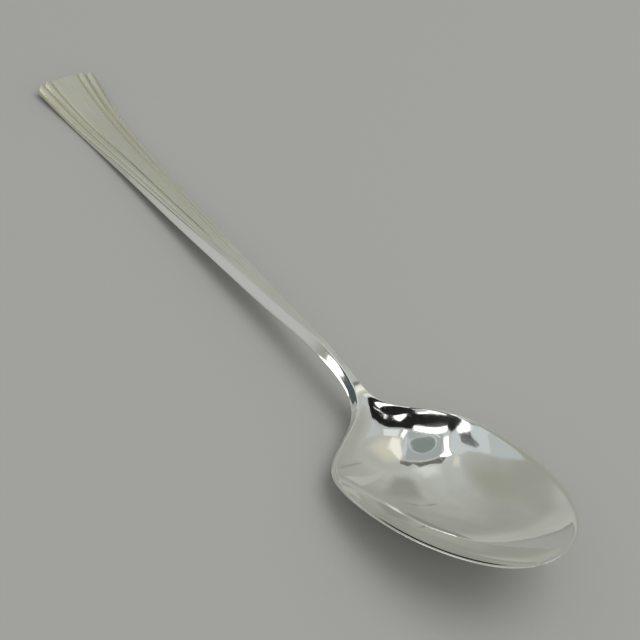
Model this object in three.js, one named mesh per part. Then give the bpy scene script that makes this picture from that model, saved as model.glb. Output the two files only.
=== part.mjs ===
// Tablespoon, face up on its bowl and on the back of its handle.
// Millimetres, +X from the handle's end to the tip of the bowl, +Z up, table at zero height.
// The blank is one stamping. It is drawn as four named lengths that meet face to face.

import * as THREE from 'three';

// Driving sizes of the whole spoon
const overallLength = 210;
const bowlLength = 67.5;
const bowlWidth = 45.8;
const fanWidth = 19;
const archHeight = 11.6;
const tipHeight = 23.2;

// Sizes of the handle, seen from above
const neckTopWidth = 1.3;
const straightTaperWidth = 12.5;
const fanBulge = 1.9;
const ribEndNotch = 0.5;
const ribEndReach = 0.4;
const grooveDepth = 0.42;
const fanCrown = 0.3;

// Sizes of the handle, seen from the side
const fanThickness = 1.9;
const neckThickness = 3.7;
const heelThickness = 3;
const fanBevel = 0.2;
const neckBevel = 1.7;

// Sizes of the bowl's wall
const rimWidth = 0.6;
const heelRimWidth = 1;
const rimFall = 0.25;
const wallThickness = 1.3;
const bowlFlatDepth = 0.2;
const handleFlatDepth = 0.1;

// Places along the handle, as shares of its length from the end to the bowl
const fanShare = 0.34;
const neckShare = 0.78;
const handleStationShares = [0, 0.12, 0.28, 0.45, 0.62, 0.78, 0.9];
const handleRiseShares = [0.12, 0, 0.125, 0.33, 0.585, 0.81, 1];

// Places along the bowl, as shares of its length from the heel to the tip
const rimStationShares = [0, 0.15, 0.35, 0.6, 0.82, 1];
const rimHeightShares = [0.415, 0.273, 0.361, 0.612, 0.844, 1];
const hollowFullShare = 0.4;
const floorEndShare = 0.38;
const floorRisePower = 2.15;

// Shares that shape the outline and the sections
const taperEndShare = 0.86;
const taperEaseShare = 0.06;
const flareShare = 0.195;
const neckThinningShare = 0.9;
const shoulderMidShare = 0.13;
const shoulderReachShare = 0.085;
const heelEndShare = 0.34;
const heelRimEndShare = 0.5;
const widestShare = 0.425;
const backNarrowingShare = 0.26;
const tipRoundnessPower = 2.2;
const panelEndShare = 0.48;
const panelFadedShare = 0.28;
const panelShoulderShare = 0.08;
const ribFadeStartShare = 0.3;
const ribFadeEndShare = 0.8;
const bevelDropShare = 0.72;
const wallFullnessShare = 0.16;
const handleUndersidePower = 4;

// Counts
const ribsPerSide = 2;
const stepsPerRib = 6;
const shoulderSteps = 3;
const fanRings = 15;
const stemRings = 12;
const neckRings = 14;
const bowlRings = 34;
const hollowSteps = 16;
const bowlUndersideSteps = 24;
const stemUndersideSteps = 14;
const neckTopSteps = 4;

// Places worked out from the sizes above
const endX = -overallLength / 2;
const tipX = overallLength / 2;
const heelX = tipX - bowlLength;
const handleLength = heelX - endX;
const neckTopHalf = neckTopWidth / 2;
const straightTaperHalf = straightTaperWidth / 2;
const flareHalf = fanWidth / 2 - neckTopHalf - straightTaperHalf;
const bowlHalf = bowlWidth / 2;

const clamp = (value, low, high) => Math.min(Math.max(value, low), high);
const mix = (from, to, share) => from + (to - from) * share;

// Rises from 0 to 1 between two places with no kink at either end
function ease(value, from, to) {
  const share = clamp((value - from) / (to - from), 0, 1);
  return share ** 3 * (share * (share * 6 - 15) + 10);
}

// Natural cubic through the given places: no kink anywhere, straight at both ends
function smoothLine(places, heights) {
  const last = places.length - 1;
  const bends = new Array(last + 1).fill(0);
  const carried = new Array(last + 1).fill(0);
  for (let i = 1; i < last; i += 1) {
    const before = places[i] - places[i - 1];
    const after = places[i + 1] - places[i];
    const slopeChange = (heights[i + 1] - heights[i]) / after - (heights[i] - heights[i - 1]) / before;
    const pivot = 2 * (before + after) - before * carried[i - 1];
    carried[i] = after / pivot;
    bends[i] = (6 * slopeChange - before * bends[i - 1]) / pivot;
  }
  for (let i = last - 1; i > 0; i -= 1) {
    bends[i] -= carried[i] * bends[i + 1];
  }
  return (place) => {
    let i = 0;
    while (i < last - 1 && place > places[i + 1]) {
      i += 1;
    }
    const span = places[i + 1] - places[i];
    const ahead = clamp((place - places[i]) / span, 0, 1);
    const behind = 1 - ahead;
    const bend = (behind ** 3 - behind) * bends[i] + (ahead ** 3 - ahead) * bends[i + 1];
    return mix(heights[i], heights[i + 1], ahead) + (bend * span * span) / 6;
  };
}

// Height of the top edge: one smooth line along the handle and round the bowl's rim
const edgePlaces = [
  ...handleStationShares.map((share) => endX + share * handleLength),
  ...rimStationShares.map((share) => heelX + share * bowlLength),
];
const edgeHeights = [
  ...handleRiseShares.map((share) => mix(fanThickness - handleFlatDepth, archHeight, share)),
  ...rimHeightShares.map((share) => share * tipHeight),
];
const edgeHeight = smoothLine(edgePlaces, edgeHeights);

// Depth of the hollow below its rim: none at the neck, then down to a floor that climbs to the tip
function bowlDepth(share) {
  const lowest = wallThickness - bowlFlatDepth;
  const climb = Math.max(share - floorEndShare, 0) / (1 - floorEndShare);
  const floor = mix(lowest, tipHeight, climb ** floorRisePower);
  return (edgeHeight(heelX + share * bowlLength) - floor) * ease(share, 0, hollowFullShare);
}

// Half width of the handle's top face: a straight taper with a trumpet flare at the end
function handleHalf(share) {
  const left = 1 - share / taperEndShare;
  const taper = (left + Math.hypot(left, taperEaseShare)) / 2;
  return neckTopHalf + straightTaperHalf * taper + flareHalf * Math.exp(-share / flareShare);
}

// Share of the bowl's width that it has at a share of its length, without the neck
function ovalShare(share) {
  if (share < widestShare) {
    return 1 - backNarrowingShare * ((widestShare - share) / widestShare) ** 2;
  }
  const towardsTip = Math.min((share - widestShare) / (1 - widestShare), 1);
  return (1 - towardsTip ** tipRoundnessPower) ** (1 / tipRoundnessPower);
}

// Half widths of the top face and of the widest line below it. The neck swells into the bowl.
function halfWidths(handlePlace, bowlPlace) {
  const stemHalf = handleHalf(handlePlace);
  const ripe = ease(handlePlace, 0, neckShare);
  const bevel = mix(fanBevel, neckBevel, ripe);
  const swell = (1 + Math.tanh((bowlPlace - shoulderMidShare) / shoulderReachShare)) / 2;
  const oval = ovalShare(bowlPlace);
  const rim = mix(heelRimWidth, rimWidth, ease(bowlPlace, shoulderMidShare, heelRimEndShare));
  return {
    topHalf: mix(stemHalf, (bowlHalf - rim) * oval, swell),
    outerHalf: mix(stemHalf + bevel, bowlHalf * oval, swell),
  };
}

// Share of the half width that the plain panel takes. It narrows faster than the ribs beside it.
function panelHalfShare(share) {
  return mix(panelEndShare, panelFadedShare, share / ribFadeEndShare);
}

// How deep a place lies in a groove: 0 on the panel or the crest of a rib, 1 in a groove
function ribFall(widthShare, panel) {
  const beyond = Math.abs(widthShare) - panel;
  if (beyond <= 0) {
    return 1 - Math.sin((Math.PI / 2) * Math.min(-beyond / panelShoulderShare, 1));
  }
  const along = (beyond / (1 - panel)) * ribsPerSide;
  return 1 - Math.sin(Math.PI * (along - Math.floor(along)));
}

// Shares of the half width that catch the panel's shoulders and every rib and groove
function ribbedSteps(share) {
  const panel = panelHalfShare(share);
  const half = evenRow(panel - panelShoulderShare, panel, shoulderSteps);
  half.push(...evenRow(panel, 1, ribsPerSide * stepsPerRib).slice(1));
  return [...half.map((step) => -step).reverse(), 0, ...half];
}

// Evenly spaced values, with both ends
function evenRow(from, to, count) {
  return Array.from({ length: count + 1 }, (_, i) => mix(from, to, i / count));
}

// One closed section of the handle: top from -Y to +Y, then the underside back again
function handleRing(share, topSteps, underSteps) {
  const place = endX + share * handleLength;
  const { topHalf, outerHalf } = halfWidths(share, (place - heelX) / bowlLength);
  const fullThickness = mix(fanThickness, neckThickness, ease(share, 0, neckShare));
  const thickness = mix(fullThickness, heelThickness, ease(share, neckThinningShare, 1));
  const edge = edgeHeight(place);
  const fade = 1 - ease(share, ribFadeStartShare, ribFadeEndShare);
  const panel = panelHalfShare(share);
  const endFade = 1 - ease(share, 0, fanShare);
  const endShift = (step) => {
    const fall = ribFall(step, panel);
    const reach = Math.abs(step) > panel ? ribEndReach * (1 - fall) : 0;
    return (fanBulge * step ** 2 + ribEndNotch * fall - reach) * endFade;
  };
  const top = topSteps.map((step) => {
    const rise = fanCrown * (1 - step ** 2) - grooveDepth * ribFall(step, panel);
    return [place + endShift(step), topHalf * step, edge + rise * fade];
  });
  const sideHeight = edge - thickness * bevelDropShare;
  const floorHeight = edge - thickness;
  const under = underSteps.map((step) => {
    const height = mix(floorHeight, sideHeight, Math.abs(step) ** handleUndersidePower);
    return [place + endShift(step), -outerHalf * step, Math.max(height, 0)];
  });
  return { top, under };
}

// One section of the bowl. Its hollow stops short of the tip by the width of the rim.
function bowlRing(share, topSteps, underSteps) {
  const innerPlace = heelX + share * (bowlLength - rimWidth);
  const outerPlace = heelX + share * bowlLength;
  const { topHalf, outerHalf } = halfWidths(1, share);
  const atHeel = 1 - ease(share, 0, heelEndShare);
  const edge = edgeHeight(outerPlace);
  const depth = bowlDepth(share);
  const fullness = (step) => {
    const inward = 1 - step ** 2;
    return inward * (1 + wallFullnessShare * (1 - inward));
  };
  const top = topSteps.map((step) => [innerPlace, topHalf * step, edge - depth * fullness(step)]);
  const sideHeight = edge - mix(rimFall, heelThickness * bevelDropShare, atHeel);
  const floorHeight = edge - depth - mix(wallThickness, heelThickness, atHeel);
  const under = underSteps.map((step) => {
    const handleShape = 1 - Math.abs(step) ** handleUndersidePower;
    const shape = mix(fullness(step), handleShape, atHeel);
    return [outerPlace, -outerHalf * step, Math.max(mix(sideHeight, floorHeight, shape), 0)];
  });
  return { top, under };
}

// Joins a row of sections into one closed body with its faces pointing out
function loft(sections) {
  const vertices = [];
  const triangles = [];
  const indexOf = new Map();
  const addPoint = (point) => {
    const key = point.map((value) => value.toFixed(5)).join();
    if (!indexOf.has(key)) {
      indexOf.set(key, vertices.length / 3);
      vertices.push(...point);
    }
    return indexOf.get(key);
  };
  const addTriangle = (a, b, c) => {
    if (a !== b && b !== c && a !== c) {
      triangles.push(a, b, c);
    }
  };
  const rings = sections.map(({ top, under }) => ({ top: top.map(addPoint), under: under.map(addPoint) }));
  const addStrip = (near, far) => {
    for (let j = 0; j + 1 < near.length; j += 1) {
      addTriangle(near[j], far[j], far[j + 1]);
      addTriangle(near[j], far[j + 1], near[j + 1]);
    }
  };
  for (let i = 0; i + 1 < rings.length; i += 1) {
    const near = rings[i];
    const far = rings[i + 1];
    addStrip([...near.top, ...near.under, near.top[0]], [...far.top, ...far.under, far.top[0]]);
  }
  addCap(rings[0], true, vertices, addTriangle);
  addCap(rings[rings.length - 1], false, vertices, addTriangle);
  const geometry = new THREE.BufferGeometry();
  geometry.setAttribute('position', new THREE.Float32BufferAttribute(vertices, 3));
  geometry.setIndex(triangles);
  return geometry;
}

// Closes an end by zipping its top row to its underside row, from one side to the other
function addCap({ top, under }, facesBack, vertices, addTriangle) {
  const above = [...top];
  const below = [...under].reverse();
  const sideways = (index) => vertices[index * 3 + 1];
  let i = 0;
  let j = 0;
  while (i + 1 < above.length || j + 1 < below.length) {
    const advanceAbove = j + 1 >= below.length
      || (i + 1 < above.length && sideways(above[i + 1]) <= sideways(below[j + 1]));
    const corners = advanceAbove ? [above[i], above[i + 1], below[j]] : [above[i], below[j + 1], below[j]];
    if (facesBack) {
      addTriangle(corners[0], corners[1], corners[2]);
    } else {
      addTriangle(corners[0], corners[2], corners[1]);
    }
    i += advanceAbove ? 1 : 0;
    j += advanceAbove ? 0 : 1;
  }
}

function polishedSilver(colour, roughness) {
  return new THREE.MeshStandardMaterial({ color: colour, roughness, metalness: 1, side: THREE.FrontSide });
}

function namedPiece(name, sections, material) {
  const piece = new THREE.Mesh(loft(sections), material);
  piece.name = name;
  return piece;
}

function handleSections(fromShare, toShare, count, stepsAbove, stepsBelow) {
  return evenRow(fromShare, toShare, count).map((share) => (
    handleRing(share, stepsAbove(share), stepsBelow(share))));
}

// Rings lie closer together towards the tip, where the outline turns fastest
function bowlSections() {
  const topSteps = evenRow(-1, 1, hollowSteps);
  const underSteps = evenRow(-1, 1, bowlUndersideSteps);
  return evenRow(0, Math.PI / 2, bowlRings).map((turn) => bowlRing(Math.sin(turn), topSteps, underSteps));
}

// The flared end of the handle, ribbed above and scalloped round its edge
function fanEnd() {
  const sections = handleSections(0, fanShare, fanRings, ribbedSteps, ribbedSteps);
  return namedPiece('fan_end', sections, polishedSilver('#b9b9ae', 0.3));
}

// The tapering middle of the handle, where the ribs run together and fade
function stem() {
  const stepsBelow = () => evenRow(-1, 1, stemUndersideSteps);
  const sections = handleSections(fanShare, neckShare, stemRings, ribbedSteps, stepsBelow);
  return namedPiece('stem', sections, polishedSilver('#bdbdb6', 0.25));
}

// The plain arched neck, deep and narrow, that joins the bowl
function neck() {
  const stepsAbove = () => evenRow(-1, 1, neckTopSteps);
  const stepsBelow = () => evenRow(-1, 1, stemUndersideSteps);
  const sections = handleSections(neckShare, 1, neckRings, stepsAbove, stepsBelow);
  return namedPiece('neck', sections, polishedSilver('#c6c7c3', 0.2));
}

// The egg-shaped bowl with its thin rim
function bowl() {
  return namedPiece('bowl', bowlSections(), polishedSilver('#c9cac6', 0.15));
}

const spoon = new THREE.Group();
spoon.add(fanEnd(), stem(), neck(), bowl());

export default spoon;
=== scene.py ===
import math

import bpy
from bpy.props import FloatProperty, FloatVectorProperty, PointerProperty
from bpy.types import Operator, Panel, PropertyGroup
from mathutils import Matrix, Vector


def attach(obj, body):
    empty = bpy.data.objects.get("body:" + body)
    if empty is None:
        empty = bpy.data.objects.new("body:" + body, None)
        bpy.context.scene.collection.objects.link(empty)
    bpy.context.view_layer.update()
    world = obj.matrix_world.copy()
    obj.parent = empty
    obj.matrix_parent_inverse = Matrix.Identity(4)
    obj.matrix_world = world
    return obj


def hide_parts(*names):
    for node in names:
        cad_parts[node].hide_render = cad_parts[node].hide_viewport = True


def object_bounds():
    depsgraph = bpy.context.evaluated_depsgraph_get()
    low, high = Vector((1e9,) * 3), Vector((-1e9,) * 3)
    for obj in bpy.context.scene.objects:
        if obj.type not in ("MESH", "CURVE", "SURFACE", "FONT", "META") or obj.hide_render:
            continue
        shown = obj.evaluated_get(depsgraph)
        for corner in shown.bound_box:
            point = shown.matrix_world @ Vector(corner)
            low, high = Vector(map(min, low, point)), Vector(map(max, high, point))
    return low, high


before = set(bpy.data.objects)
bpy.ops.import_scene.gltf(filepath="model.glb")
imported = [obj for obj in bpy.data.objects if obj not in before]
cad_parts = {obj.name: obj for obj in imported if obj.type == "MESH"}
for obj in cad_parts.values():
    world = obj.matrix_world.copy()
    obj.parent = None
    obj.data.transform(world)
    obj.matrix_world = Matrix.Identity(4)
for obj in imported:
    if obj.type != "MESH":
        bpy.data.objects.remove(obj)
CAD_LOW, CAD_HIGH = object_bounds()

bl_info = {
    "name": "Tablespoon",
    "version": (1, 0, 0),
    "blender": (4, 5, 0),
    "location": "3D View > Sidebar > Tablespoon",
    "description": "Presses a ribbed silver tablespoon out of a flat blank, in a plain studio",
    "category": "Add Mesh",
}

# Places along the handle, as shares of its length from the end to the bowl, and how much of its
# rise to the arched neck the top edge has made at each station
FAN_SHARE = 0.34
NECK_SHARE = 0.78
HANDLE_STATION_SHARES = (0, 0.12, 0.28, 0.45, 0.62, 0.78, 0.9)
HANDLE_RISE_SHARES = (0.12, 0, 0.125, 0.33, 0.585, 0.81, 1)

# Places along the bowl, as shares of its length from the heel to the tip, and the rim's height at
# each station, as a share of the tip's
RIM_STATION_SHARES = (0, 0.15, 0.35, 0.6, 0.82, 1)
RIM_HEIGHT_SHARES = (0.415, 0.273, 0.361, 0.612, 0.844, 1)
HOLLOW_FULL_SHARE = 0.4
FLOOR_END_SHARE = 0.38
FLOOR_RISE_POWER = 2.15

# Shares that shape the outline and the sections
TAPER_END_SHARE = 0.86
TAPER_EASE_SHARE = 0.06
FLARE_SHARE = 0.195
NECK_THINNING_SHARE = 0.9
SHOULDER_MID_SHARE = 0.13
SHOULDER_REACH_SHARE = 0.085
HEEL_END_SHARE = 0.34
HEEL_RIM_END_SHARE = 0.5
WIDEST_SHARE = 0.425
BACK_NARROWING_SHARE = 0.26
TIP_ROUNDNESS_POWER = 2.2
PANEL_END_SHARE = 0.48
PANEL_FADED_SHARE = 0.28
PANEL_SHOULDER_SHARE = 0.08
RIB_FADE_START_SHARE = 0.3
RIB_FADE_END_SHARE = 0.8
RIB_SWELL_SHARE = 0.065
BEVEL_DROP_SHARE = 0.72
WALL_FULLNESS_SHARE = 0.16
THROAT_START_SHARE = 0.03
THROAT_END_SHARE = 0.17
HANDLE_UNDERSIDE_POWER = 4

# Counts
RIBS_PER_SIDE = 2
COLUMNS_PER_RIB = 14
SHOULDER_COLUMNS = 5
PANEL_COLUMNS = 8
ROWS = 384
HALF_COLUMNS = PANEL_COLUMNS + SHOULDER_COLUMNS + RIBS_PER_SIDE * COLUMNS_PER_RIB
CORNER_STEPS = 6
SIDE_STEPS = 4
SIDE_ROWS = 2 * CORNER_STEPS + SIDE_STEPS

# Where the handle's film, dirt and painted shade spots start and stop, in metres along the spoon
FILM_FULL_AT = -0.036
FILM_GONE_AT = -0.01
DIRT_FULL_AT = -0.1
DIRT_THIN_AT = -0.06
SHADE_SPOTS_FULL_AT = -0.1035
SHADE_SPOTS_GONE_AT = -0.096

# Cloudy patches: real size in metres, then the least and the most of their value, which is
# roughness for the haze. The noise that draws them seldom leaves the range that comes first here.
NOISE_LEAST = 0.3
NOISE_MOST = 0.7
FILM_PATCHES = (0.003, 0.6, 1.2)
DIRT_PATCHES = (0.004, 0.65, 1)
HAZE_PATCHES = (0.008, 0.025, 0.06)
WAVES = (0.007, 0, 1)

# Lines: real length and width in metres, direction in degrees, and the noise levels at which a
# line begins and is full. Rarer lines begin at a higher level.
FILM_STREAKS = (0.025, 0.0007, 0, 0.38, 0.68)
HANDLE_HAIRLINES = (0.014, 0.0002, 0, 0.56, 0.72)
BOWL_HAIRLINES = (0.009, 0.0002, 24, 0.62, 0.76)
CROSSING_HAIRLINES = (0.007, 0.0002, -38, 0.64, 0.76)
POLISHING_STROKES = (0.03, 0.0014, 4, 0.3, 0.7)

# How far a face turns upward, from 0 to 1, where the hand has rubbed the film off and where not
RUBBED_BELOW = 0.6
UNRUBBED_ABOVE = 0.75

# How much film a streak takes away, and how much dirt is left in the grooves past the fan
STREAK_WEAR = 0.6
DIRT_LEFT = 0.45

# Painted shade in pin spots: spacing in metres, core and edge as shares of it, and how much they
# hide
SHADE_SPOT_SPACING = 0.0012
SHADE_SPOT_CORE_SHARE = 0.12
SHADE_SPOT_EDGE_SHARE = 0.3
SHADE_SPOT_STRENGTH = 0.8

# Roughness that each mark adds, and the heights of what polishing and use leave, in metres
FILM_ROUGHNESS = 0.17
DIRT_ROUGHNESS = 0.15
SCRATCH_ROUGHNESS = 0.06
WAVE_HEIGHT = 0.000004
STROKE_HEIGHT = 0.000001
SCRATCH_DEPTH = 0.0000005

# The floor, in metres. It lies a hair below the worn flats that the spoon rests on.
FLOOR_SIZE = 6
FLOOR_DROP = 0.00002
FLOOR_ROUGHNESS = 0.9

# The camera: place and nearest sight in metres, turn in degrees, and sensor in millimetres
CAMERA_PLACE = (0.18904, -0.19629, 0.27395)
CAMERA_YAW = 130.961
CAMERA_PITCH = 44.724
CAMERA_ROLL = 16.444
SENSOR_WIDTH = 36
NEAREST_SEEN = 0.01

# Where the cards below are seen from: the middle of the bowl, in metres.
BOWL_MIDDLE = (0.06, 0, 0.005)

# Cards that stay above this elevation hang level overhead.
OVERHEAD_FROM = 38

# Cards and lit scrims round the table, that the polished metal mirrors: name, tone, strength, how
# soft the edge is, and corners as azimuth and elevation in degrees, seen from the bowl. Each card
# hangs a little nearer than the one before it, and so hides it where they cross.
CARDS = (
    (
        "olive_panel",
        "#9b9d93",
        1,
        0.8,
        (
            (-148, 10),
            (-148.5, 30),
            (-151, 45),
            (-156, 55),
            (-166, 62),
            (180, 60),
            (172, 50),
            (171, 36),
            (176, 22),
            (-174, 10),
            (-160, 5),
        ),
    ),
    (
        "cool_panel",
        "#b6bdbd",
        1,
        0.25,
        ((-150, 12), (-151.5, 30), (-154.5, 45), (-144, 50), (-132, 29), (-134, 12)),
    ),
    ("shaded_fold", "#93958f", 1, 0.5, ((103, 17), (93, 39), (89, 44), (98, 24))),
    (
        "shaded_panel",
        "#949690",
        1,
        0.6,
        ((114, 15), (108, 31), (97, 48), (105, 57), (121, 55), (128, 49), (131, 38), (122, 27)),
    ),
    ("light_fold", "#b6b8b1", 1, 0, ((110.5, 14), (108, 15), (94, 45), (97, 45))),
    ("dark_fold", "#868983", 1, 0.5, ((140, 40), (134, 38), (116, 18), (122, 27))),
    ("low_shaded_band", "#898b85", 1, 0.3, ((140, 1), (119, 8), (121, 13), (137, 8))),
    ("low_strip_far", "#eceee8", 1.3, 0, ((134, 1), (124, 2), (123, 4.5), (134, 4.5))),
    ("low_strip_near", "#dadcd6", 1, 0, ((119, 4), (117, 8), (119, 9), (121, 5))),
    (
        "glow_under_square",
        "#d3d6d1",
        1,
        0.8,
        ((100, 57), (96, 64), (130, 70), (165, 68), (160, 60), (130, 55)),
    ),
    (
        "glow_beside_square",
        "#d2d1c9",
        1,
        0.8,
        ((-178, 57), (168, 62), (-178, 67), (-168, 65), (-166, 59)),
    ),
    (
        "cream_panel",
        "#cdcbbb",
        1,
        0.8,
        ((70, 52), (69, 62), (74, 64), (86, 62), (91, 57), (90, 48), (79, 45)),
    ),
    ("cream_scrim", "#efeee4", 1.05, 0.5, ((73, 62), (84, 60.7), (89.5, 57), (80, 54.5), (71, 58))),
    ("pale_panel", "#bbc1c2", 1, 0.4, ((64, 54), (71, 55), (72, 45), (54, 45))),
    ("pale_scrim", "#dfe4e5", 1, 0, ((64, 54), (66, 61.5), (73, 60.6), (71, 55))),
    (
        "cool_scrim",
        "#c6cdcf",
        1,
        0,
        (
            (-160, 76),
            (-159, 70.2),
            (-146, 46),
            (-141, 38),
            (-151, 38),
            (-154, 46),
            (-158.5, 54.5),
            (-172, 64),
            (-177, 69),
        ),
    ),
    (
        "dark_edge",
        "#6d6f69",
        1,
        0,
        (
            (87, 57.5),
            (90, 56.6),
            (97, 59.5),
            (98, 63.1),
            (111, 64),
            (127, 68.8),
            (156, 68),
            (171, 70),
            (162, 72),
            (116, 69.8),
            (89, 59),
        ),
    ),
    ("grey_scrim", "#a2a8a8", 1, 0, ((69, 65.2), (165, 81.4), (158, 73.3), (87, 59.8))),
    (
        "lamp_ring",
        "#bcc3c3",
        1,
        0,
        (
            (78.3, 64.1),
            (76.5, 65.2),
            (76.6, 68.1),
            (79.5, 72.1),
            (87.5, 76.4),
            (103.3, 79.7),
            (122.5, 80.7),
            (131.9, 79.9),
            (128.6, 78.4),
            (117.7, 76.2),
            (105.2, 73.2),
            (94.7, 69.8),
            (87.1, 66.6),
            (81.8, 64.6),
        ),
    ),
    (
        "lamp_glass",
        "#828a88",
        1,
        0,
        (
            (79.4, 65.1),
            (77.8, 66.2),
            (78, 68.7),
            (81, 72.2),
            (88.2, 76),
            (101.2, 78.9),
            (116.3, 79.9),
            (124.5, 79.4),
            (122.5, 78.1),
            (113.9, 76),
            (103.5, 73.3),
            (94.5, 70.2),
            (87.5, 67.4),
            (82.6, 65.6),
        ),
    ),
    (
        "black_flag",
        "#1f201f",
        1,
        0,
        (
            (61, 68.6),
            (-179, 80.9),
            (-167, 75.3),
            (-158, 70.4),
            (-151, 64.6),
            (-150, 72.7),
            (-147, 87.3),
            (30, 61),
            (24, 57.5),
            (23, 51),
            (42, 48),
            (58, 44.4),
            (57, 50),
            (62, 56),
            (64, 62.3),
            (68, 66.6),
        ),
    ),
    (
        "black_flag_sheen",
        "#4a4c4b",
        1,
        0.8,
        ((60, 62), (63, 67.5), (160, 81), (-166, 78), (-160, 82), (60, 76)),
    ),
    (
        "dark_flag",
        "#6c706f",
        1,
        0,
        ((-153.7, 49.4), (-151, 45.4), (-149.8, 54.2), (-151.6, 56.2), (-154.9, 65), (-157.5, 62)),
    ),
    (
        "dark_flag_edge",
        "#3a3c3b",
        1,
        0,
        ((-157.2, 66.5), (-154.9, 65), (-149.8, 54.2), (-150.5, 52.5), (-151.6, 55)),
    ),
    ("top_strip", "#ffffff", 1.8, 0, ((62.3, 67.8), (-175.6, 80.3), (-177, 78.9), (69.5, 67.9))),
    (
        "right_strip",
        "#ffffff",
        1.6,
        0,
        (
            (166, 79.8),
            (-173.5, 76.3),
            (-179.5, 71.5),
            (-178, 66.8),
            (155, 72.2),
            (151, 74),
            (168, 73.7),
        ),
    ),
    ("left_strip", "#ffffff", 1.4, 0, ((66.3, 63.5), (68.5, 65.2), (75.6, 62.4), (72, 61.8))),
    ("left_glow", "#c6cccc", 1, 0.5, ((70, 65.1), (75, 65.6), (88, 60), (83, 59.5))),
    (
        "white_scrim",
        "#ffffff",
        1.8,
        0,
        ((41.5, 54), (33.5, 56.7), (40, 59.3), (52.5, 60), (48, 56.6)),
    ),
    ("edge_strip", "#ffffff", 1.4, 0, ((42.2, 53), (43.3, 52.7), (50, 53), (49.6, 53.5))),
    (
        "thin_strip",
        "#ffffff",
        1.8,
        0,
        ((28, 61.5), (20.7, 69), (-78.8, 88), (-150, 86.5), (25, 73.5), (32, 64)),
    ),
    (
        "low_scrim",
        "#ffffff",
        1.8,
        0,
        ((-148, 61.3), (-146, 48), (-150.5, 56), (-155.3, 65.5), (-157.8, 70.4), (-152.4, 65)),
    ),
    ("bevel_scrim", "#bababa", 1, 0.6, ((-136, 2), (-136, 18), (-118, 18), (-118, 2))),
    ("edge_scrim", "#f4f6f4", 1.1, 0, ((-134, 25), (-134, 62), (-96, 62), (-96, 25))),
    ("rim_scrim", "#ffffff", 1.6, 0, ((18, 32), (18, 46), (46, 44.5), (46, 32))),
    (
        "side_scrim",
        "#ffffff",
        1.8,
        0,
        ((-118, 3), (-116.5, 12), (-113, 17), (-110, 19.5), (-104, 20), (-104, 3)),
    ),
    (
        "side_flag",
        "#50575a",
        1,
        0,
        ((-110, 19.7), (-104, 24.5), (-140, 24.5), (-140, 11), (-126, 13), (-117.4, 16)),
    ),
)

# Tone of the room that the metal mirrors, by height: 0 is level with the table and 1 is overhead.
ROOM_TONES = (
    (0, "#b2b3ad"),
    (0.09, "#acada7"),
    (0.2, "#9d9f99"),
    (0.38, "#a0a19b"),
    (0.56, "#a5a7a1"),
    (0.72, "#afb1ac"),
    (0.86, "#b6b9b5"),
    (1, "#bcc0bd"),
)

# Soft clouds in that room: how many fit across it, and the least and most that they light it
ROOM_CLOUDS = 2.2
ROOM_CLOUD_LEAST = 0.9
ROOM_CLOUD_MOST = 1.1


def mix(start, end, share):
    """The value that lies a share of the way from start to end."""
    return start + (end - start) * share


def ease(value, start, end):
    """Rises from 0 to 1 between two places with no kink at either end."""
    share = min(max((value - start) / (end - start), 0), 1)
    return share**3 * (share * (share * 6 - 15) + 10)


def linear(hex_colour):
    """Turns an sRGB hex value to the linear red, green and blue that a shader takes."""
    channels = [int(hex_colour[i : i + 2], 16) / 255 for i in (1, 3, 5)]
    return tuple(c / 12.92 if c <= 0.04045 else ((c + 0.055) / 1.055) ** 2.4 for c in channels)


def smooth_line(places, heights):
    """A natural cubic through the given places: no kink anywhere, straight at both ends."""
    last = len(places) - 1
    bends = [0.0] * (last + 1)
    carried = [0.0] * (last + 1)
    for i in range(1, last):
        before = places[i] - places[i - 1]
        after = places[i + 1] - places[i]
        slope_before = (heights[i] - heights[i - 1]) / before
        slope_change = (heights[i + 1] - heights[i]) / after - slope_before
        pivot = 2 * (before + after) - before * carried[i - 1]
        carried[i] = after / pivot
        bends[i] = (6 * slope_change - before * bends[i - 1]) / pivot
    for i in range(last - 1, 0, -1):
        bends[i] -= carried[i] * bends[i + 1]

    def height(place):
        i = 0
        while i < last - 1 and place > places[i + 1]:
            i += 1
        span = places[i + 1] - places[i]
        ahead = min(max((place - places[i]) / span, 0), 1)
        behind = 1 - ahead
        bend = (behind**3 - behind) * bends[i] + (ahead**3 - ahead) * bends[i + 1]
        return mix(heights[i], heights[i + 1], ahead) + bend * span * span / 6

    return height


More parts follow.
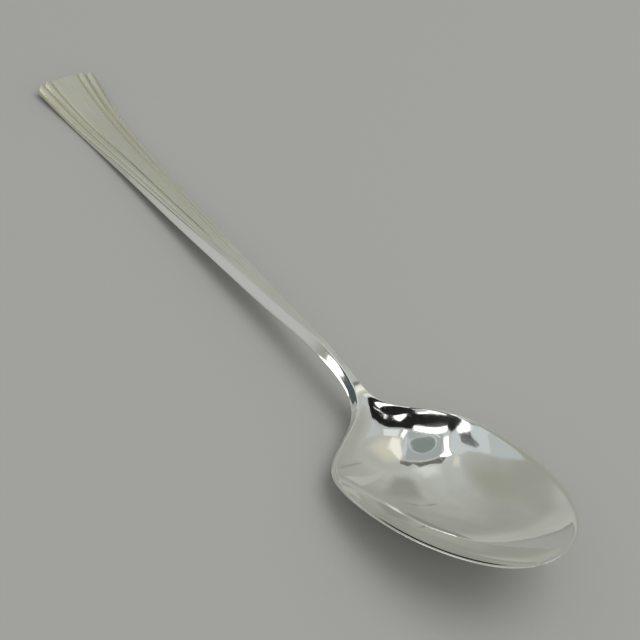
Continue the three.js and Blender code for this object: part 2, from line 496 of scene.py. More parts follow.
class SpoonSizes(PropertyGroup):
    """Sizes and colours of the spoon. The three overall sizes come from the frame."""

    overall_length: FloatProperty(
        name="Overall length",
        description="From the end of the handle to the tip of the bowl",
        default=CAD_HIGH.x - CAD_LOW.x,
        unit="LENGTH",
    )
    bowl_width: FloatProperty(
        name="Bowl width",
        description="Across the widest part of the bowl, over its rim",
        default=CAD_HIGH.y - CAD_LOW.y,
        unit="LENGTH",
    )
    tip_height: FloatProperty(
        name="Tip height",
        description="From the table to the rim at the tip of the bowl",
        default=CAD_HIGH.z - CAD_LOW.z,
        unit="LENGTH",
    )
    bowl_length: FloatProperty(
        name="Bowl length",
        description="From the heel of the bowl to its tip",
        default=0.0675,
        unit="LENGTH",
    )
    fan_width: FloatProperty(
        name="Fan width",
        description="Across the flared end of the handle",
        default=0.019,
        unit="LENGTH",
    )
    arch_height: FloatProperty(
        name="Arch height",
        description="From the table to the top of the arched neck",
        default=0.0116,
        unit="LENGTH",
    )
    neck_top_width: FloatProperty(
        name="Neck top width",
        description="Across the flat top of the neck, between its two bevels",
        default=0.0013,
        unit="LENGTH",
    )
    straight_taper_width: FloatProperty(
        name="Straight taper width",
        description="How much of the handle's width goes in its straight taper",
        default=0.0125,
        unit="LENGTH",
    )
    fan_bulge: FloatProperty(
        name="Fan bulge",
        description="How far the middle of the handle's end stands beyond its corners",
        default=0.0019,
        unit="LENGTH",
    )
    rib_end_notch: FloatProperty(
        name="Rib end notch",
        description="How far each groove cuts into the end of the handle",
        default=0.0005,
        unit="LENGTH",
    )
    rib_end_reach: FloatProperty(
        name="Rib end reach",
        description="How far each rounded rib end stands out from the handle's end",
        default=0.0004,
        unit="LENGTH",
    )
    rib_end_swell: FloatProperty(
        name="Rib end swell",
        description="How far each rib rises towards its rounded end",
        default=0.00045,
        unit="LENGTH",
    )
    groove_depth: FloatProperty(
        name="Groove depth",
        description="Depth of the grooves between the ribs at the fan",
        default=0.00042,
        unit="LENGTH",
    )
    fan_crown: FloatProperty(
        name="Fan crown",
        description="How far the middle of the fan stands above its edges",
        default=0.0003,
        unit="LENGTH",
    )
    fan_thickness: FloatProperty(
        name="Fan thickness",
        description="Thickness of the handle at its end",
        default=0.0019,
        unit="LENGTH",
    )
    neck_thickness: FloatProperty(
        name="Neck thickness",
        description="Thickness of the handle at the arched neck",
        default=0.0037,
        unit="LENGTH",
    )
    heel_thickness: FloatProperty(
        name="Heel thickness",
        description="Thickness where the neck runs into the bowl",
        default=0.003,
        unit="LENGTH",
    )
    fan_bevel: FloatProperty(
        name="Fan bevel",
        description="How far the side leans out below the top edge at the fan",
        default=0.0002,
        unit="LENGTH",
    )
    neck_bevel: FloatProperty(
        name="Neck bevel",
        description="How far the side leans out below the top edge at the neck",
        default=0.0017,
        unit="LENGTH",
    )
    rim_width: FloatProperty(
        name="Rim width",
        description="Width of the rim round the bowl",
        default=0.0004,
        unit="LENGTH",
    )
    heel_rim_width: FloatProperty(
        name="Heel rim width",
        description="Width of the rim where it comes out of the neck's bevel",
        default=0.001,
        unit="LENGTH",
    )
    rim_fall: FloatProperty(
        name="Rim fall",
        description="How far the rim falls towards its outer edge",
        default=0.00025,
        unit="LENGTH",
    )
    wall_thickness: FloatProperty(
        name="Wall thickness",
        description="Thickness of the bowl at its lowest place",
        default=0.0013,
        unit="LENGTH",
    )
    bowl_flat_depth: FloatProperty(
        name="Bowl flat depth",
        description="How deep the resting spot is worn into the back of the bowl",
        default=0.0002,
        unit="LENGTH",
    )
    handle_flat_depth: FloatProperty(
        name="Handle flat depth",
        description="How deep the resting spot is worn into the back of the handle",
        default=0.0001,
        unit="LENGTH",
    )
    handle_edge_radius: FloatProperty(
        name="Handle edge radius",
        description="Rounding of the crisp edge along the top of the handle",
        default=0.00014,
        unit="LENGTH",
    )
    rim_edge_radius: FloatProperty(
        name="Rim edge radius",
        description="How far the rounding of the rim runs over its top",
        default=0.00034,
        unit="LENGTH",
    )
    rim_under_radius: FloatProperty(
        name="Rim under radius",
        description="Rounding of the rim's outer edge",
        default=0.0001,
        unit="LENGTH",
    )
    rim_lip_reach: FloatProperty(
        name="Rim lip reach",
        description="How far the rounding of the rim runs down the wall of the hollow",
        default=0.001,
        unit="LENGTH",
    )
    silver: FloatVectorProperty(
        name="Silver",
        description="Colour of the clean polished plate",
        default=linear("#f4f4f0"),
        subtype="COLOR",
        size=3,
        min=0,
        max=1,
    )
    film: FloatVectorProperty(
        name="Film",
        description="Colour of the plate under the yellowish film of the handle",
        default=linear("#ecebdb"),
        subtype="COLOR",
        size=3,
        min=0,
        max=1,
    )
    # Painted shade: the colour of the dark spots painted into the grooves near the handle's end
    spot: FloatVectorProperty(
        name="Spot",
        description="Colour of the dark pin spots at the end of the handle",
        default=linear("#57503f"),
        subtype="COLOR",
        size=3,
        min=0,
        max=1,
    )
    tarnish: FloatVectorProperty(
        name="Tarnish",
        description="Colour of the thin warm film that stays in the grooves",
        default=linear("#d6cfae"),
        subtype="COLOR",
        size=3,
        min=0,
        max=1,
    )


class StudioSettings(PropertyGroup):
    """Floor, light and lens of the studio."""

    floor_colour: FloatVectorProperty(
        name="Floor colour",
        description="Colour of the plain floor and of what the camera sees beyond it",
        default=linear("#a3a49f"),
        subtype="COLOR",
        size=3,
        min=0,
        max=1,
    )
    fill_light: FloatProperty(
        name="Fill light",
        description="Even light from all round, where 1 shows a colour as it is written",
        default=0.62,
        min=0,
    )
    key_place: FloatVectorProperty(
        name="Key place",
        description="Where the soft lamp hangs over the table",
        default=(0.32, 0.3, 1.5),
        subtype="TRANSLATION",
        unit="LENGTH",
        size=3,
    )
    key_size: FloatProperty(
        name="Key size",
        description="Side of the square soft lamp",
        default=1.2,
        unit="LENGTH",
    )
    key_power: FloatProperty(
        name="Key power",
        description="Power of the soft lamp over the table",
        default=10,
        unit="POWER",
        min=0,
    )
    card_height: FloatProperty(
        name="Card height",
        description="From the bowl up to the first of the cards overhead",
        default=1.0,
        unit="LENGTH",
    )
    card_distance: FloatProperty(
        name="Card distance",
        description="From the bowl to the first of the cards near the horizon",
        default=2.0,
        unit="LENGTH",
    )
    card_gap: FloatProperty(
        name="Card gap",
        description="How much nearer each card hangs than the one before it, as a share",
        default=0.006,
        min=0,
    )
    lens: FloatProperty(
        name="Lens",
        description="Focal length of the camera, for a sensor 36 mm wide",
        default=82.1,
        unit="CAMERA",
    )


class SpoonShape:
    """Where each point of the flat blank goes when the spoon is pressed."""

    def __init__(self, sizes):
        self.sizes = sizes
        self.end_x = -sizes.overall_length / 2
        self.tip_x = sizes.overall_length / 2
        self.heel_x = self.tip_x - sizes.bowl_length
        self.handle_length = self.heel_x - self.end_x
        self.widest_x = self.heel_x + WIDEST_SHARE * sizes.bowl_length
        self.bowl_half = sizes.bowl_width / 2
        self.neck_top_half = sizes.neck_top_width / 2
        self.straight_taper_half = sizes.straight_taper_width / 2
        self.flare_half = sizes.fan_width / 2 - self.neck_top_half - self.straight_taper_half
        low = sizes.fan_thickness - sizes.handle_flat_depth
        places = [self.end_x + share * self.handle_length for share in HANDLE_STATION_SHARES]
        places += [self.heel_x + share * sizes.bowl_length for share in RIM_STATION_SHARES]
        heights = [mix(low, sizes.arch_height, share) for share in HANDLE_RISE_SHARES]
        heights += [share * sizes.tip_height for share in RIM_HEIGHT_SHARES]
        self.edge_height = smooth_line(places, heights)

    def shares(self, place):
        """Shares of the handle's length and of the bowl's at which a place along the spoon lies."""
        handle_share = min((place - self.end_x) / self.handle_length, 1)
        return handle_share, (place - self.heel_x) / self.sizes.bowl_length

    def bowl_depth(self, share):
        """Depth of the hollow below its rim: none at the neck, and its floor climbs to the tip."""
        lowest = self.sizes.wall_thickness - self.sizes.bowl_flat_depth
        climb = max(share - FLOOR_END_SHARE, 0) / (1 - FLOOR_END_SHARE)
        floor = mix(lowest, self.sizes.tip_height, climb**FLOOR_RISE_POWER)
        edge = self.edge_height(self.heel_x + share * self.sizes.bowl_length)
        return (edge - floor) * ease(share, 0, HOLLOW_FULL_SHARE)

    def handle_half(self, share):
        """Half width of the handle's top: a straight taper with a trumpet flare at the end."""
        left = 1 - share / TAPER_END_SHARE
        taper = (left + math.hypot(left, TAPER_EASE_SHARE)) / 2
        flare = self.flare_half * math.exp(-share / FLARE_SHARE)
        return self.neck_top_half + self.straight_taper_half * taper + flare

    def oval_share(self, share):
        """Share of the bowl's width that it has at a share of its length, without the neck."""
        if share < WIDEST_SHARE:
            return 1 - BACK_NARROWING_SHARE * ((WIDEST_SHARE - share) / WIDEST_SHARE) ** 2
        towards_tip = min((share - WIDEST_SHARE) / (1 - WIDEST_SHARE), 1)
        return (1 - towards_tip**TIP_ROUNDNESS_POWER) ** (1 / TIP_ROUNDNESS_POWER)

    def half_widths(self, place):
        """Half widths of the top face and of the widest line below it."""
        sizes = self.sizes
        handle_share, bowl_share = self.shares(place)
        stem_half = self.handle_half(handle_share)
        bevel = mix(sizes.fan_bevel, sizes.neck_bevel, ease(handle_share, 0, NECK_SHARE))
        swell = self.swell(place)
        oval = self.oval_share(bowl_share)
        narrowed = ease(bowl_share, SHOULDER_MID_SHARE, HEEL_RIM_END_SHARE)
        rim = mix(sizes.heel_rim_width, sizes.rim_width, narrowed)
        top_half = mix(stem_half, (self.bowl_half - rim) * oval, swell)
        return top_half, mix(stem_half + bevel, self.bowl_half * oval, swell)

    def swell(self, place):
        """How far the section has turned from the neck's, at 0, to the bowl's, at 1."""
        bowl_share = self.shares(place)[1]
        return (1 + math.tanh((bowl_share - SHOULDER_MID_SHARE) / SHOULDER_REACH_SHARE)) / 2

    def end_shift(self, handle_share, step):
        """How far the handle's end is cut back, into a convex row of rounded rib ends."""
        panel = panel_half_share(handle_share)
        fall = rib_fall(step, panel)
        reach = self.sizes.rib_end_reach * (1 - fall) if abs(step) > panel else 0
        cut = self.sizes.fan_bulge * step**2 + self.sizes.rib_end_notch * fall - reach
        return cut * (1 - ease(handle_share, 0, FAN_SHARE))

    def groove(self, handle_share, step):
        """How deep a place of the handle's top lies in a groove: 1 is the full depth at the fan."""
        return rib_fade(handle_share) * rib_fall(step, panel_half_share(handle_share))

    def top_point(self, place, step):
        """A point of the top face, at a place along the spoon and a share of the half width."""
        sizes = self.sizes
        handle_share, bowl_share = self.shares(place)
        top_half = self.half_widths(place)[0]
        height = self.edge_height(place)
        if bowl_share > 0:
            past_throat = ease(bowl_share, THROAT_START_SHARE, THROAT_END_SHARE)
            fullness = mix((1 - step**2) ** 2, wall_fullness(step), past_throat)
            x = self.heel_x + bowl_share * (sizes.bowl_length - sizes.rim_width)
            return Vector((x, top_half * step, height - self.bowl_depth(bowl_share) * fullness))
        crown = rib_fade(handle_share) * sizes.fan_crown * (1 - step**2)
        height += crown - sizes.groove_depth * self.groove(handle_share, step)
        panel = panel_half_share(handle_share)
        if abs(step) > panel:
            near_end = max(1 - handle_share / RIB_SWELL_SHARE, 0)
            height += sizes.rib_end_swell * near_end**2 * (1 - rib_fall(step, panel) ** 2)
        return Vector((place + self.end_shift(handle_share, step), top_half * step, height))

    def under_point(self, place, step):
        """A point of the underside, at a place along the spoon and a share of the half width."""
        sizes = self.sizes
        handle_share, bowl_share = self.shares(place)
        outer_half = self.half_widths(place)[1]
        edge = self.edge_height(place)
        handle_shape = 1 - abs(step) ** HANDLE_UNDERSIDE_POWER
        if bowl_share > 0:
            at_heel = 1 - ease(bowl_share, 0, HEEL_END_SHARE)
            side = edge - mix(sizes.rim_fall, sizes.heel_thickness * BEVEL_DROP_SHARE, at_heel)
            wall = mix(sizes.wall_thickness, sizes.heel_thickness, at_heel)
            floor = edge - self.bowl_depth(bowl_share) - wall
            height = mix(side, floor, mix(wall_fullness(step), handle_shape, at_heel))
            return Vector((place, outer_half * step, max(height, 0)))
        thickened = ease(handle_share, 0, NECK_SHARE)
        thinned = ease(handle_share, NECK_THINNING_SHARE, 1)
        thickness = mix(sizes.fan_thickness, sizes.neck_thickness, thickened)
        thickness = mix(thickness, sizes.heel_thickness, thinned)
        height = mix(edge - thickness * BEVEL_DROP_SHARE, edge - thickness, handle_shape)
        x = place + self.end_shift(handle_share, step)
        return Vector((x, outer_half * step, max(height, 0)))

    def plan(self, along, across, inset, on_top):
        """Place along the spoon and share of the half width, for shares of the blank's length and
        width. Its far end wraps round the tip of the bowl. The inset draws the outline in."""
        place = self.end_x + along * self.sizes.overall_length
        if place <= self.widest_x:
            reach = self.sizes.fan_width / 2
            near_end = max(1 - (place - self.end_x) / reach, 0) ** 2
            place += inset * near_end
            half = self.half_widths(place)[0 if on_top else 1]
            return place, across * (1 - inset / half)
        run = self.tip_x - self.widest_x
        ahead = (place - self.widest_x) / run
        x = ahead * math.sqrt(1 - across**2 / 2)
        y = across * math.sqrt(1 - ahead**2 / 2)
        power = TIP_ROUNDNESS_POWER
        stretch = math.hypot(x, y) / (abs(x) ** power + abs(y) ** power) ** (1 / power)
        x = min(x * stretch * (1 - inset / run), 1)
        y = y * stretch * (1 - inset / self.bowl_half)
        oval = (1 - x**power) ** (1 / power)
        return self.widest_x + x * run, (min(max(y / oval, -1), 1) if oval > 0 else 0)

    def pressed(self, along, across, level):
        """Where a point of the blank goes. Level 0 is the underside and level 1 the top face.
        Between them lies the side, with a rounded corner below and above it."""
        sizes = self.sizes
        place, step = self.plan(along, across, 0, True)
        swell = self.swell(place)
        radius = mix(sizes.handle_edge_radius, sizes.rim_edge_radius, swell)
        lip_reach = mix(sizes.handle_edge_radius, sizes.rim_lip_reach, swell)
        low_radius = mix(2 * sizes.handle_edge_radius, sizes.rim_under_radius, swell)
        if level == 1:
            return self.top_point(*self.plan(along, across, lip_reach, True))
        if level == 0:
            return self.under_point(*self.plan(along, across, low_radius, False))
        top_edge = self.top_point(place, step)
        low_edge = self.under_point(place, step)
        side = top_edge - low_edge
        below = low_edge + side * (low_radius / side.length)
        above = top_edge - side * (radius / side.length)
        row = level * SIDE_ROWS
        if row < CORNER_STEPS:
            sheet_edge = self.under_point(*self.plan(along, across, low_radius, False))
            return corner(sheet_edge, low_edge, below, row / CORNER_STEPS)
        if row <= CORNER_STEPS + SIDE_STEPS:
            return below.lerp(above, (row - CORNER_STEPS) / SIDE_STEPS)
        sheet_edge = self.top_point(*self.plan(along, across, lip_reach, True))
        share = (row - CORNER_STEPS - SIDE_STEPS) / CORNER_STEPS
        return corner(above, top_edge, sheet_edge, share)


def corner(start, sharp, end, share):
    """A point of the rounded corner that stands for a sharp one."""
    return start.lerp(sharp, share).lerp(sharp.lerp(end, share), share)


def wall_fullness(step):
    """Share of the hollow's depth at a share of its half width: 0 at the rim, 1 in the middle."""
    inward = 1 - step**2
    return inward * (1 + WALL_FULLNESS_SHARE * (1 - inward))


def rib_fade(handle_share):
    """How much is left of the ribs: 1 at the fan and 0 where they have run out."""
    return 1 - ease(handle_share, RIB_FADE_START_SHARE, RIB_FADE_END_SHARE)


def panel_half_share(handle_share):
    """Share of the half width that the plain panel takes. It narrows faster than the ribs do."""
    return mix(PANEL_END_SHARE, PANEL_FADED_SHARE, min(handle_share / RIB_FADE_END_SHARE, 1))


def rib_fall(step, panel):
    """How deep a place lies in a groove: 0 on the panel or the crest of a rib, 1 in a groove."""
    beyond = abs(step) - panel
    if beyond <= 0:
        return 1 - math.sin(math.pi / 2 * min(-beyond / PANEL_SHOULDER_SHARE, 1))
    return 1 - math.sin(math.pi * (beyond / (1 - panel) * RIBS_PER_SIDE % 1))


def column_step(across, panel):
    """Share of the half width for a column of the blank, so that columns meet every groove."""
    shoulder = panel - PANEL_SHOULDER_SHARE
    runs = (
        (PANEL_COLUMNS, 0, shoulder),
        (SHOULDER_COLUMNS, shoulder, panel),
        (RIBS_PER_SIDE * COLUMNS_PER_RIB, panel, 1),
    )
    column = abs(across) * HALF_COLUMNS
    for columns, start, end in runs:
        if column <= columns or end == 1:
            return math.copysign(mix(start, end, column / columns), across)
        column -= columns


def add_node(tree, kind, settings=None, inputs=None):
    """Adds a node, gives it its settings, and sets or links its inputs."""
    node = tree.nodes.new(kind)
    for name, value in (settings or {}).items():
        setattr(node, name, value)
    for name, value in (inputs or {}).items():
        if isinstance(value, bpy.types.NodeSocket):
            tree.links.new(value, node.inputs[name])
        else:
            node.inputs[name].default_value = value
    return node


def new_material(name):
    """An empty node material and its tree."""
    material = bpy.data.materials.new(name)
    material.use_nodes = True
    material.node_tree.nodes.clear()
    return material, material.node_tree


def lined_noise(tree, place, lines):
    """Marks of one length, width and direction: 1 in a line and 0 between them."""
    length, width, turn, begin, full = lines
    laid = add_node(
        tree,
        "ShaderNodeMapping",
        {"vector_type": "TEXTURE"},
        {"Vector": place, "Rotation": (0, 0, math.radians(turn)), "Scale": (length, width, width)},
    )
    noise = add_node(
        tree,
        "ShaderNodeTexNoise",
        inputs={"Vector": laid.outputs["Vector"], "Scale": 1, "Detail": 1},
    )
    marks = add_node(
        tree,
        "ShaderNodeMapRange",
        inputs={"Value": noise.outputs["Fac"], "From Min": begin, "From Max": full},
    )
    return marks.outputs["Result"]


def cloudy_noise(tree, place, patches):
    """Patches of one size whose value wanders between the least and the most."""
    size, least, most = patches
    noise = add_node(
        tree,
        "ShaderNodeTexNoise",
        inputs={"Vector": place, "Scale": 1 / size, "Detail": 3},
    )
    value = add_node(
        tree,
        "ShaderNodeMapRange",
        inputs={
            "Value": noise.outputs["Fac"],
            "From Min": NOISE_LEAST,
            "From Max": NOISE_MOST,
            "To Min": least,
            "To Max": most,
        },
    )
    return value.outputs["Result"]


def overlap(tree, share, *others):
    """What is left of a share where others lie over it."""
    for other in others:
        left = add_node(tree, "ShaderNodeMath", {"operation": "MULTIPLY"}, {0: share, 1: other})
        share = left.outputs["Value"]
    return share


def polished_silver_plate(sizes):
    """Silver plated on nickel silver, machine polished, then used and stored for years. The eye
    gets a clear mirror in the bowl, a softer and warmer one along the handle, and a khaki film in
    the grooves."""
    material, tree = new_material("polished_silver_plate")
    place = add_node(tree, "ShaderNodeTexCoord").outputs["Object"]
    along = add_node(tree, "ShaderNodeSeparateXYZ", inputs={"Vector": place}).outputs["X"]

    # A thin yellowish film dulls the top of the handle, with lengthwise streaks wiped thinner in
    # it. It ends short of the neck, and the sides are rubbed clean by the hand.
    on_handle = add_node(
        tree,
        "ShaderNodeMapRange",
        {"interpolation_type": "SMOOTHSTEP"},
        {
            "Value": along,
            "From Min": FILM_FULL_AT,
            "From Max": FILM_GONE_AT,
            "To Min": 1,
            "To Max": 0,
        },
    ).outputs["Result"]
    normal = add_node(tree, "ShaderNodeNewGeometry").outputs["Normal"]
    upward = add_node(tree, "ShaderNodeSeparateXYZ", inputs={"Vector": normal}).outputs["Z"]
    unrubbed = add_node(
        tree,
        "ShaderNodeMapRange",
        inputs={"Value": upward, "From Min": RUBBED_BELOW, "From Max": UNRUBBED_ABOVE},
    ).outputs["Result"]
    streaks = lined_noise(tree, place, FILM_STREAKS)
    unwiped = add_node(
        tree,
        "ShaderNodeMath",
        {"operation": "MULTIPLY_ADD"},
        {0: streaks, 1: -STREAK_WEAR, 2: 1},
    ).outputs["Value"]
    patches = cloudy_noise(tree, place, FILM_PATCHES)
    film = overlap(tree, on_handle, patches, unrubbed, unwiped)

    # Tarnish gathers in the grooves between the ribs, and the crests are wiped bright.
    depth = add_node(tree, "ShaderNodeAttribute", {"attribute_name": "groove_depth"})
    hollow = add_node(
        tree,
        "ShaderNodeMapRange",
        {"interpolation_type": "SMOOTHSTEP"},
        {"Value": depth.outputs["Fac"]},
    ).outputs["Result"]
    near_end = add_node(
        tree,
        "ShaderNodeMapRange",
        {"interpolation_type": "SMOOTHSTEP"},
        {
            "Value": along,
            "From Min": DIRT_FULL_AT,
            "From Max": DIRT_THIN_AT,
            "To Min": 1,
            "To Max": DIRT_LEFT,
        },
    ).outputs["Result"]
    dirt = overlap(tree, hollow, cloudy_noise(tree, place, DIRT_PATCHES), near_end)

    # Painted shade: dark pin spots in the grooves near the end of the handle, standing for the
    # shade and dark reflections there.
    cells = add_node(
        tree,
        "ShaderNodeTexVoronoi",
        inputs={"Vector": place, "Scale": 1 / SHADE_SPOT_SPACING},
    )
    spot = add_node(
        tree,
        "ShaderNodeMapRange",
        inputs={
            "Value": cells.outputs["Distance"],
            "From Min": SHADE_SPOT_CORE_SHARE,
            "From Max": SHADE_SPOT_EDGE_SHARE,
            "To Min": 1,
            "To Max": 0,
        },
    ).outputs["Result"]
    at_end = add_node(
        tree,
        "ShaderNodeMapRange",
        inputs={
            "Value": along,
            "From Min": SHADE_SPOTS_FULL_AT,
            "From Max": SHADE_SPOTS_GONE_AT,
            "To Min": SHADE_SPOT_STRENGTH,
            "To Max": 0,
        },
    ).outputs["Result"]
    spots = overlap(tree, at_end, hollow, spot)

    # The film and the tarnish are the plate's own colours; the spots mixed in last are painted
    # shade.
    colour = (*sizes.silver, 1)
    for share, tint in ((film, sizes.film), (dirt, sizes.tarnish), (spots, sizes.spot)):
        tinted = add_node(
            tree,
            "ShaderNodeMix",
            {"data_type": "RGBA"},
            {0: share, 6: colour, 7: (*tint, 1)},
        )
        colour = tinted.outputs[2]

    # Hairline scratches: lengthwise from wiping on the handle, and two crossing sets from use in
    # the bowl. Real ones are about 0.02 mm wide, drawn ten times coarser so that they show.
    worn = lined_noise(tree, place, BOWL_HAIRLINES)
    crossed = lined_noise(tree, place, CROSSING_HAIRLINES)
    used = add_node(tree, "ShaderNodeMath", {"operation": "ADD"}, {0: worn, 1: crossed})
    wiped = lined_noise(tree, place, HANDLE_HAIRLINES)
    scratches = add_node(
        tree,
        "ShaderNodeMath",
        {"operation": "MULTIPLY_ADD"},
        {0: wiped, 1: on_handle, 2: used.outputs["Value"]},
    ).outputs["Value"]

    # Roughness: a clear mirror with a faint haze of wiping marks, softened by whatever lies on it.
    roughness = cloudy_noise(tree, place, HAZE_PATCHES)
    for share, added in (
        (film, FILM_ROUGHNESS),
        (dirt, DIRT_ROUGHNESS),
        (scratches, SCRATCH_ROUGHNESS),
    ):
        softened = add_node(
            tree,
            "ShaderNodeMath",
            {"operation": "MULTIPLY_ADD"},
            {0: share, 1: added, 2: roughness},
        )
        roughness = softened.outputs["Value"]

    # Polishing leaves the plate very slightly wavy, and streaked by its long strokes, so mirrored
    # edges wander a little.
    wavy = add_node(
        tree,
        "ShaderNodeBump",
        inputs={"Height": cloudy_noise(tree, place, WAVES), "Distance": WAVE_HEIGHT},
    )
    stroked = add_node(
        tree,
        "ShaderNodeBump",
        inputs={
            "Height": lined_noise(tree, place, POLISHING_STROKES),
            "Distance": STROKE_HEIGHT,
            "Normal": wavy.outputs["Normal"],
        },
    )
    scratched = add_node(
        tree,
        "ShaderNodeBump",
        {"invert": True},
        {"Height": scratches, "Distance": SCRATCH_DEPTH, "Normal": stroked.outputs["Normal"]},
    )
    shader = add_node(
        tree,
        "ShaderNodeBsdfPrincipled",
        inputs={
            "Base Color": colour,
            "Metallic": 1,
            "Roughness": roughness,
            "Normal": scratched.outputs["Normal"],
        },
    )
    add_node(tree, "ShaderNodeOutputMaterial", inputs={"Surface": shader.outputs["BSDF"]})
    return material


def lit_card(name, tone, strength, softness):
    """Card lit evenly all over, which melts away towards its edge where it is soft."""
    material, tree = new_material(name)
    light = add_node(
        tree,
        "ShaderNodeEmission",
        inputs={"Color": (*linear(tone), 1), "Strength": strength},
    )
    surface = light.outputs["Emission"]
    if softness:
        inward = add_node(tree, "ShaderNodeAttribute", {"attribute_name": "cover"})
        share = add_node(
            tree,
            "ShaderNodeMapRange",
            {"interpolation_type": "SMOOTHSTEP"},
            {"Value": inward.outputs["Fac"], "From Max": softness},
        )
        clear = add_node(tree, "ShaderNodeBsdfTransparent")
        blend = add_node(
            tree,
            "ShaderNodeMixShader",
            inputs={0: share.outputs["Result"], 1: clear.outputs["BSDF"], 2: surface},
        )
        surface = blend.outputs["Shader"]
    add_node(tree, "ShaderNodeOutputMaterial", inputs={"Surface": surface})
    return material


def hang_card(card, height, reach):
    """Hangs one card level at a height over the bowl, or a low one at a distance from it. Only the
    metal sees it."""
    name, tone, strength, softness, corners = card
    bowl_middle = Vector(BOWL_MIDDLE)
    overhead = min(elevation for _, elevation in corners) >= OVERHEAD_FROM
    bpy.ops.object.select_all(action="DESELECT")
    bpy.ops.mesh.primitive_circle_add(
        vertices=len(corners),
        radius=1,
        fill_type="TRIFAN" if softness else "NGON",
        location=(0, 0, 0),
    )
    sheet = bpy.context.object
    sheet.name = sheet.data.name = name
    cover = sheet.data.attributes.new("cover", "FLOAT", "POINT")

    # A new circle's corners lie at 1 from its middle, where a soft card has one point more.
    edge = [vertex for vertex in sheet.data.vertices if vertex.co.length > 0.5]
    middle = [vertex for vertex in sheet.data.vertices if vertex.co.length <= 0.5]
    aims = []
    for vertex, (azimuth, elevation) in zip(edge, corners):
        turn = math.radians(azimuth)
        lift = math.radians(elevation)
        level = math.cos(lift)
        aim = Vector((level * math.cos(turn), level * math.sin(turn), math.sin(lift)))
        aims.append(aim * (height / aim.z if overhead else reach))
        vertex.co = bowl_middle + aims[-1]
        cover.data[vertex.index].value = 0
    for vertex in middle:
        vertex.co = bowl_middle + sum(aims, Vector()) / len(aims)
        cover.data[vertex.index].value = 1
    sheet.data.materials.append(lit_card(name, tone, strength, softness))
    sheet.visible_camera = False
    sheet.visible_diffuse = False
    sheet.visible_shadow = False


def lay_floor(colour):
    """Lays a plain matt floor."""
    bpy.ops.object.select_all(action="DESELECT")
    bpy.ops.mesh.primitive_plane_add(size=FLOOR_SIZE, location=(0, 0, -FLOOR_DROP))
    floor = bpy.context.object
    floor.name = floor.data.name = "floor"
    material, tree = new_material("matt_grey_floor")
    shader = add_node(
        tree,
        "ShaderNodeBsdfPrincipled",
        inputs={"Base Color": (*colour, 1), "Roughness": FLOOR_ROUGHNESS},
    )
    add_node(tree, "ShaderNodeOutputMaterial", inputs={"Surface": shader.outputs["BSDF"]})
    floor.data.materials.append(material)


def light_room(scene, fill_light):
    """Gives matt things an even light from all round, and the metal a softly uneven room to
    mirror, which the camera sees beyond the floor too."""
    world = bpy.data.worlds.new("studio")
    scene.world = world
    world.use_nodes = True
    tree = world.node_tree
    tree.nodes.clear()
    way = add_node(tree, "ShaderNodeTexCoord").outputs["Generated"]
    height = add_node(tree, "ShaderNodeSeparateXYZ", inputs={"Vector": way}).outputs["Z"]
    tone = add_node(tree, "ShaderNodeValToRGB", inputs={"Fac": height})
    tone.color_ramp.interpolation = "EASE"
    for _ in ROOM_TONES[2:]:
        tone.color_ramp.elements.new(1)
    for stop, (level, shade) in zip(tone.color_ramp.elements, ROOM_TONES):
        stop.position = level
        stop.color = (*linear(shade), 1)
    clouds = add_node(
        tree,
        "ShaderNodeTexNoise",
        inputs={"Vector": way, "Scale": ROOM_CLOUDS, "Detail": 2},
    )
    unevenness = add_node(
        tree,
        "ShaderNodeMapRange",
        inputs={
            "Value": clouds.outputs["Fac"],
            "From Min": NOISE_LEAST,
            "From Max": NOISE_MOST,
            "To Min": ROOM_CLOUD_LEAST,
            "To Max": ROOM_CLOUD_MOST,
        },
    )
    room = add_node(
        tree,
        "ShaderNodeVectorMath",
        {"operation": "SCALE"},
        {"Vector": tone.outputs["Color"], "Scale": unevenness.outputs["Result"]},
    )
    mirrored = add_node(tree, "ShaderNodeBackground", inputs={"Color": room.outputs["Vector"]})
    fill = add_node(
        tree,
        "ShaderNodeBackground",
        inputs={"Color": (1, 1, 1, 1), "Strength": fill_light},
    )
    path = add_node(tree, "ShaderNodeLightPath")
    seen = add_node(
        tree,
        "ShaderNodeMath",
        {"operation": "MAXIMUM"},
        {0: path.outputs["Is Camera Ray"], 1: path.outputs["Is Glossy Ray"]},
    )
    chosen = add_node(
        tree,
        "ShaderNodeMixShader",
        inputs={
            0: seen.outputs["Value"],
            1: fill.outputs["Background"],
            2: mirrored.outputs["Background"],
        },
    )
    add_node(tree, "ShaderNodeOutputWorld", inputs={"Surface": chosen.outputs["Shader"]})


def hang_key_softbox(place, size, power):
    """Hangs the soft lamp over the table, aimed at the middle of the spoon. The metal doesn't
    mirror it."""
    bpy.ops.object.light_add(type="AREA", location=place)
    lamp = bpy.context.object
    lamp.name = lamp.data.name = "key_softbox"
    lamp.data.size = size
    lamp.data.energy = power
    lamp.visible_glossy = False
    lamp.rotation_euler = (-lamp.location).to_track_quat("-Z", "Y").to_euler()


def set_camera(scene, lens):
    """Sets up the camera: it is aimed with its horizon level, then rolled."""
    camera_data = bpy.data.cameras.new("camera")
    camera = bpy.data.objects.new("camera", camera_data)
    scene.collection.objects.link(camera)
    camera_data.sensor_width = SENSOR_WIDTH
    camera_data.lens = lens
    camera_data.clip_start = NEAREST_SEEN
    yaw = math.radians(CAMERA_YAW)
    pitch = math.radians(CAMERA_PITCH)
    roll = math.radians(CAMERA_ROLL)
    level = math.cos(pitch)
    forward = Vector((level * math.cos(yaw), level * math.sin(yaw), -math.sin(pitch)))
    level_right = Vector((math.sin(yaw), -math.cos(yaw), 0))
    level_up = level_right.cross(forward)
    right = level_right * math.cos(roll) + level_up * math.sin(roll)
    up = level_up * math.cos(roll) - level_right * math.sin(roll)
    turn = Matrix((right, up, -forward)).transposed().to_4x4()
    camera.matrix_world = Matrix.Translation(CAMERA_PLACE) @ turn
    scene.camera = camera


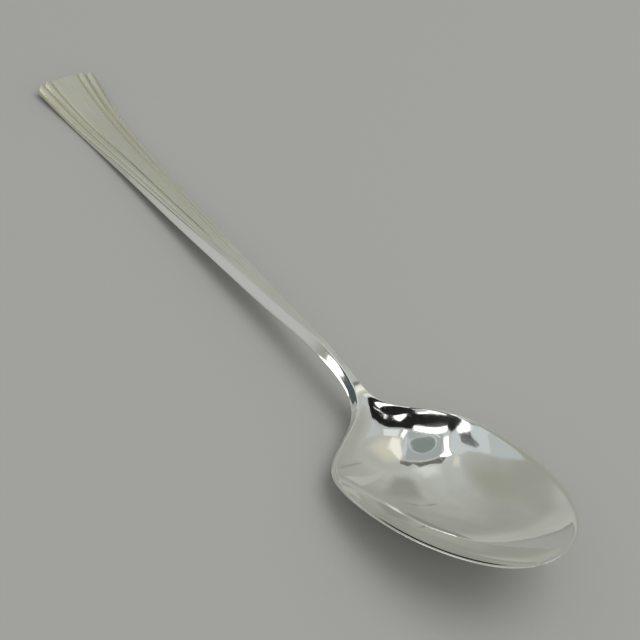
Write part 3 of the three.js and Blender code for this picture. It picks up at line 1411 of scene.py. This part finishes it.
class TABLESPOON_OT_press_spoon(Operator):
    """Press the spoon out of a flat blank and polish it"""

    bl_idname = "mesh.tablespoon_press"
    bl_label = "Press the spoon"

    def execute(self, context):
        sizes = context.scene.tablespoon_sizes
        shape = SpoonShape(sizes)
        bpy.ops.object.select_all(action="DESELECT")
        bpy.ops.mesh.primitive_grid_add(
            x_subdivisions=ROWS,
            y_subdivisions=2 * HALF_COLUMNS,
            size=sizes.overall_length,
            location=(0, 0, 0),
        )
        spoon = context.object
        spoon.name = spoon.data.name = "spoon"
        rise = sizes.fan_thickness / SIDE_ROWS
        bpy.ops.object.mode_set(mode="EDIT")
        bpy.ops.mesh.select_all(action="SELECT")
        bpy.ops.transform.resize(value=(1, sizes.bowl_width / sizes.overall_length, 1))
        for _ in range(SIDE_ROWS):
            bpy.ops.mesh.extrude_region_move(TRANSFORM_OT_translate={"value": (0, 0, rise)})
        bpy.ops.object.mode_set(mode="OBJECT")
        grooves = spoon.data.attributes.new("groove_depth", "FLOAT", "POINT")
        for vertex in spoon.data.vertices:
            along = min(max(vertex.co.x / sizes.overall_length + 0.5, 0), 1)
            handle_share = min(along * sizes.overall_length / shape.handle_length, 1)
            across = vertex.co.y / (sizes.bowl_width / 2)
            across = column_step(across, panel_half_share(handle_share))
            level = round(vertex.co.z / rise) / SIDE_ROWS
            vertex.co = shape.pressed(along, across, level)
            grooves.data[vertex.index].value = shape.groove(handle_share, across) * level
        bpy.ops.object.mode_set(mode="EDIT")
        bpy.ops.mesh.select_all(action="SELECT")
        bpy.ops.mesh.normals_make_consistent(inside=False)
        bpy.ops.object.mode_set(mode="OBJECT")
        bpy.ops.object.shade_smooth()
        spoon.data.materials.append(polished_silver_plate(sizes))
        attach(spoon, "root")
        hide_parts("fan_end", "stem", "neck", "bowl")
        return {"FINISHED"}


class TABLESPOON_OT_set_studio(Operator):
    """Lay the floor, hang the lights and set the camera"""

    bl_idname = "scene.tablespoon_studio"
    bl_label = "Set the studio"

    def execute(self, context):
        scene = context.scene
        studio = scene.tablespoon_studio
        lay_floor(studio.floor_colour)
        for layer, card in enumerate(CARDS):
            nearness = 1 - layer * studio.card_gap
            hang_card(card, studio.card_height * nearness, studio.card_distance * nearness)
        light_room(scene, studio.fill_light)
        hang_key_softbox(studio.key_place, studio.key_size, studio.key_power)
        set_camera(scene, studio.lens)
        scene.view_settings.view_transform = "Standard"
        return {"FINISHED"}


class TABLESPOON_PT_panel(Panel):
    """Lists what makes the spoon and its studio"""

    bl_label = "Tablespoon"
    bl_idname = "VIEW3D_PT_tablespoon"
    bl_space_type = "VIEW_3D"
    bl_region_type = "UI"
    bl_category = "Tablespoon"

    def draw(self, context):
        for group in (context.scene.tablespoon_sizes, context.scene.tablespoon_studio):
            for name in group.__annotations__:
                self.layout.prop(group, name)
        self.layout.operator(TABLESPOON_OT_press_spoon.bl_idname)
        self.layout.operator(TABLESPOON_OT_set_studio.bl_idname)


CLASSES = (
    SpoonSizes,
    StudioSettings,
    TABLESPOON_OT_press_spoon,
    TABLESPOON_OT_set_studio,
    TABLESPOON_PT_panel,
)


def register():
    for each in CLASSES:
        bpy.utils.register_class(each)
    bpy.types.Scene.tablespoon_sizes = PointerProperty(type=SpoonSizes)
    bpy.types.Scene.tablespoon_studio = PointerProperty(type=StudioSettings)


def unregister():
    del bpy.types.Scene.tablespoon_studio
    del bpy.types.Scene.tablespoon_sizes
    for each in reversed(CLASSES):
        bpy.utils.unregister_class(each)


def main():
    """Makes the spoon and its studio."""
    register()
    bpy.ops.mesh.tablespoon_press()
    bpy.ops.scene.tablespoon_studio()


if __name__ == "__main__":
    main()
